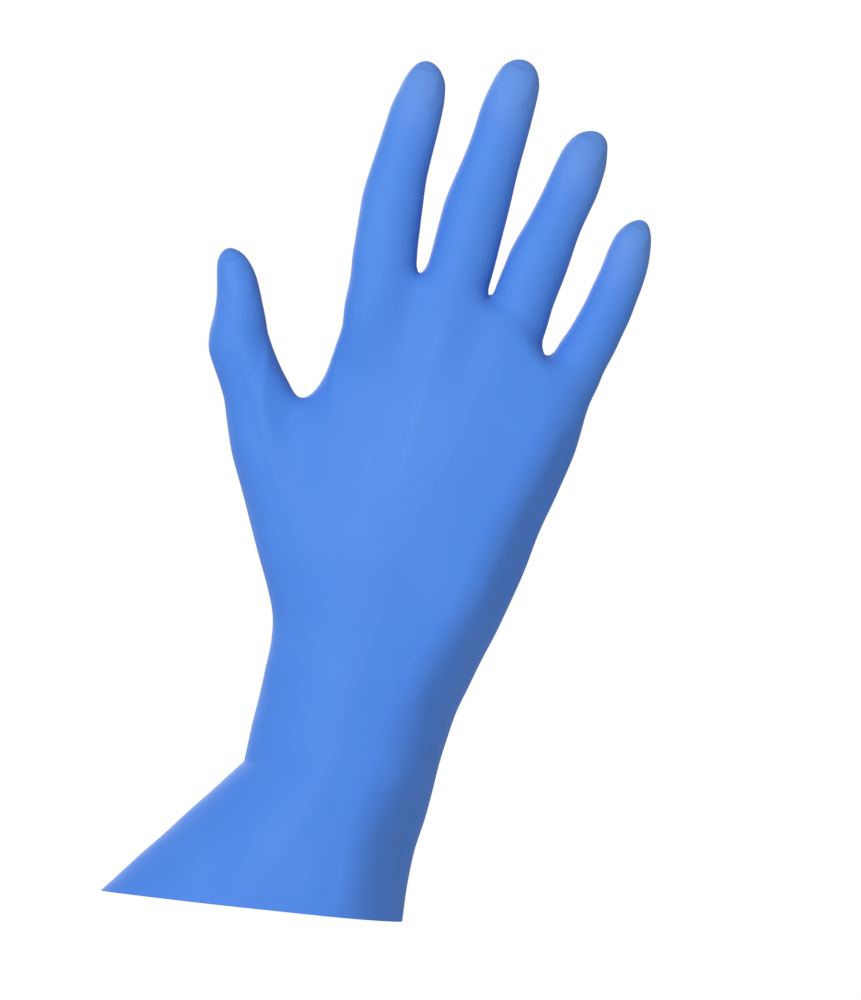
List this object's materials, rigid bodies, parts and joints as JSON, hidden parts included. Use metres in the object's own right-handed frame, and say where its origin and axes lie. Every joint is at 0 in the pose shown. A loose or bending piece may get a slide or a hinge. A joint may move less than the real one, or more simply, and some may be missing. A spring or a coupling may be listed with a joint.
{
  "type": "disposable glove",
  "caption": "Hollow thin-film disposable glove in the worn shape of a right hand, with stalls that flex at each joint, a wrist that bends both ways, and a flared open cuff.",
  "frame": {"origin": "centre of the cuff's open mouth, in the plane of the hem", "axes": "+Z from the mouth towards the finger tips, -Y is the back of the hand, +Y is the palm side, -X is the thumb side"},
  "size_m": [0.1367, 0.054, 0.2488],
  "materials": {
    "nitrile_film": "thin smooth nitrile film, satin",
    "rolled_bead": "the same film rolled up on itself, satin"
  },
  "bodies": {
    "cuff": {"cuff_sleeve": "nitrile_film", "cuff_bead": "rolled_bead"},
    "wrist": {"wrist_sleeve": "nitrile_film"},
    "palm": {"palm_shell": "nitrile_film"},
    "thumb_base": {"thumb_base": "nitrile_film"},
    "thumb_middle": {"thumb_middle": "nitrile_film"},
    "thumb_tip": {"thumb_tip": "nitrile_film"},
    "index_base": {"index_base": "nitrile_film"},
    "index_middle": {"index_middle": "nitrile_film"},
    "index_tip": {"index_tip": "nitrile_film"},
    "middle_base": {"middle_base": "nitrile_film"},
    "middle_middle": {"middle_middle": "nitrile_film"},
    "middle_tip": {"middle_tip": "nitrile_film"},
    "ring_base": {"ring_base": "nitrile_film"},
    "ring_middle": {"ring_middle": "nitrile_film"},
    "ring_tip": {"ring_tip": "nitrile_film"},
    "little_base": {"little_base": "nitrile_film"},
    "little_middle": {"little_middle": "nitrile_film"},
    "little_tip": {"little_tip": "nitrile_film"}
  },
  "joints": [
    {"name": "wrist_side", "type": "hinge", "parent": "cuff", "child": "wrist", "pos_m": [0.025, 0, 0.07], "axis": [0, 1, 0], "range_deg": [-12, 20], "stiffness_Nm_per_rad": 0.12},
    {"name": "wrist_flex", "type": "hinge", "parent": "wrist", "child": "palm", "pos_m": [0.0283, 0, 0.088], "axis": [-1, 0, 0], "range_deg": [-40, 40], "stiffness_Nm_per_rad": 0.1},
    {"name": "index_knuckle", "type": "hinge", "parent": "palm", "child": "index_base", "pos_m": [0.0183, 0, 0.181], "axis": [-1, 0, 0], "range_deg": [-15, 60], "stiffness_Nm_per_rad": 0.012},
    {"name": "index_bend", "type": "hinge", "parent": "index_base", "child": "index_middle", "pos_m": [0.0188, 0.0026, 0.206], "axis": [-0.9965, 0, 0.0841], "range_deg": [-3, 80], "stiffness_Nm_per_rad": 0.01},
    {"name": "index_end", "type": "hinge", "parent": "index_middle", "child": "index_tip", "pos_m": [0.0221, 0.006, 0.228], "axis": [-0.9872, 0, 0.1596], "range_deg": [-3, 45], "stiffness_Nm_per_rad": 0.008},
    {"name": "middle_knuckle", "type": "hinge", "parent": "palm", "child": "middle_base", "pos_m": [0.0387, 0, 0.1798], "axis": [-1, 0, 0], "range_deg": [-15, 60], "stiffness_Nm_per_rad": 0.012},
    {"name": "middle_bend", "type": "hinge", "parent": "middle_base", "child": "middle_middle", "pos_m": [0.0429, 0.0027, 0.2065], "axis": [-0.9841, 0, 0.1778], "range_deg": [-3, 80], "stiffness_Nm_per_rad": 0.01},
    {"name": "middle_end", "type": "hinge", "parent": "middle_middle", "child": "middle_tip", "pos_m": [0.0475, 0.0062, 0.229], "axis": [-0.9789, 0, 0.2044], "range_deg": [-3, 45], "stiffness_Nm_per_rad": 0.008},
    {"name": "ring_knuckle", "type": "hinge", "parent": "palm", "child": "ring_base", "pos_m": [0.0574, 0, 0.174], "axis": [-1, 0, 0], "range_deg": [-15, 60], "stiffness_Nm_per_rad": 0.012},
    {"name": "ring_bend", "type": "hinge", "parent": "ring_base", "child": "ring_middle", "pos_m": [0.063, 0.0024, 0.196], "axis": [-0.9596, 0, 0.2815], "range_deg": [-3, 80], "stiffness_Nm_per_rad": 0.01},
    {"name": "ring_end", "type": "hinge", "parent": "ring_middle", "child": "ring_tip", "pos_m": [0.0692, 0.0054, 0.2146], "axis": [-0.944, 0, 0.3301], "range_deg": [-3, 45], "stiffness_Nm_per_rad": 0.008},
    {"name": "little_knuckle", "type": "hinge", "parent": "palm", "child": "little_base", "pos_m": [0.0752, 0, 0.1605], "axis": [-1, 0, 0], "range_deg": [-15, 60], "stiffness_Nm_per_rad": 0.012},
    {"name": "little_bend", "type": "hinge", "parent": "little_base", "child": "little_middle", "pos_m": [0.0822, 0.0018, 0.1798], "axis": [-0.9466, 0, 0.3225], "range_deg": [-3, 80], "stiffness_Nm_per_rad": 0.01},
    {"name": "little_end", "type": "hinge", "parent": "little_middle", "child": "little_tip", "pos_m": [0.0866, 0.0038, 0.1936], "axis": [-0.9595, 0, 0.2817], "range_deg": [-3, 45], "stiffness_Nm_per_rad": 0.008},
    {"name": "thumb_fold", "type": "hinge", "parent": "palm", "child": "thumb_base", "pos_m": [0, 0.008, 0.1128], "axis": [0.1376, 0, 0.9905], "range_deg": [-30, 0], "stiffness_Nm_per_rad": 0.03},
    {"name": "thumb_root", "type": "hinge", "parent": "thumb_base", "child": "thumb_middle", "pos_m": [-0.0126, 0.0082, 0.1374], "axis": [0.7374, -0.5729, 0.3578], "range_deg": [-40, 5], "stiffness_Nm_per_rad": 0.012},
    {"name": "thumb_end", "type": "hinge", "parent": "thumb_middle", "child": "thumb_tip", "pos_m": [-0.021, 0.0102, 0.1605], "axis": [0.7764, -0.5728, 0.2629], "range_deg": [-60, 8], "stiffness_Nm_per_rad": 0.01}
  ]
}
